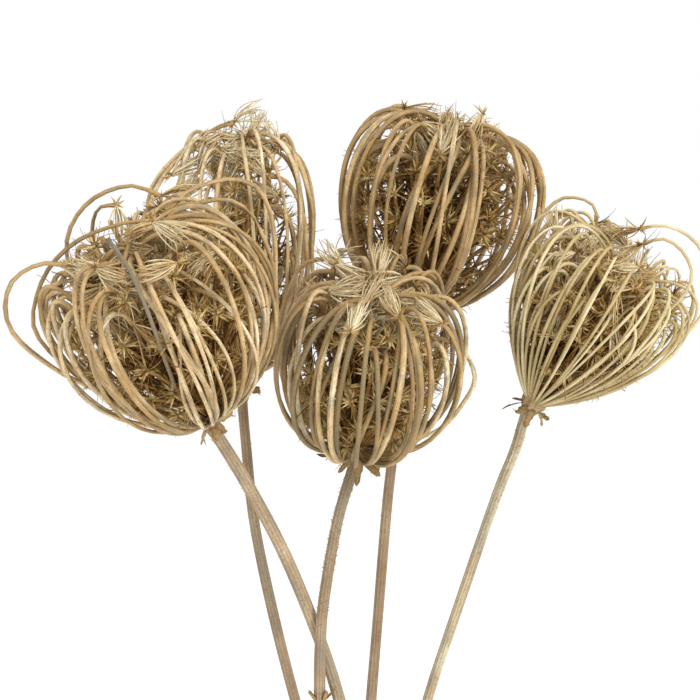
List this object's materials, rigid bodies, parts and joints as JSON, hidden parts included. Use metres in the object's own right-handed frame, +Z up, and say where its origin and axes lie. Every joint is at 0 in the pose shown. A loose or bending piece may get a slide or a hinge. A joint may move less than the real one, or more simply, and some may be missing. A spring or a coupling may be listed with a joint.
{
  "type": "dried bishops flower in vase",
  "caption": "Dried bishop's flowers whose curled rays close into nest-like seed heads, on thin bent stems standing in a plain clear glass vase.",
  "frame": {"origin": "centre of the vase's flat underside", "axes": "+Z up along the vase's axis; -Y towards the side that the large front head leans to; +X towards the single funnel-shaped head"},
  "size_m": [0.217, 0.175, 0.4068],
  "materials": {
    "glass": "clear, with a faint green tint",
    "stalk": "dry, ribbed, matt grey-brown stalk",
    "straw": "dry, matt straw-brown rays",
    "husk": "dry, papery brown bracts",
    "seed": "dry, bristly brown umbellets"
  },
  "bodies": {
    "root": {"vase": "glass", "stem_front_left": "stalk", "bracts_front_left": "husk", "outer_rays_front_left": "straw", "inner_rays_front_left": "seed", "stem_back_left": "stalk", "bracts_back_left": "husk", "outer_rays_back_left": "straw", "inner_rays_back_left": "seed", "stem_centre": "stalk", "bracts_centre": "husk", "outer_rays_centre": "straw", "inner_rays_centre": "seed", "stem_back_right": "stalk", "bracts_back_right": "husk", "outer_rays_back_right": "straw", "inner_rays_back_right": "seed", "stem_right": "stalk", "bracts_right": "husk", "outer_rays_right": "straw", "inner_rays_right": "seed"}
  },
  "joints": []
}
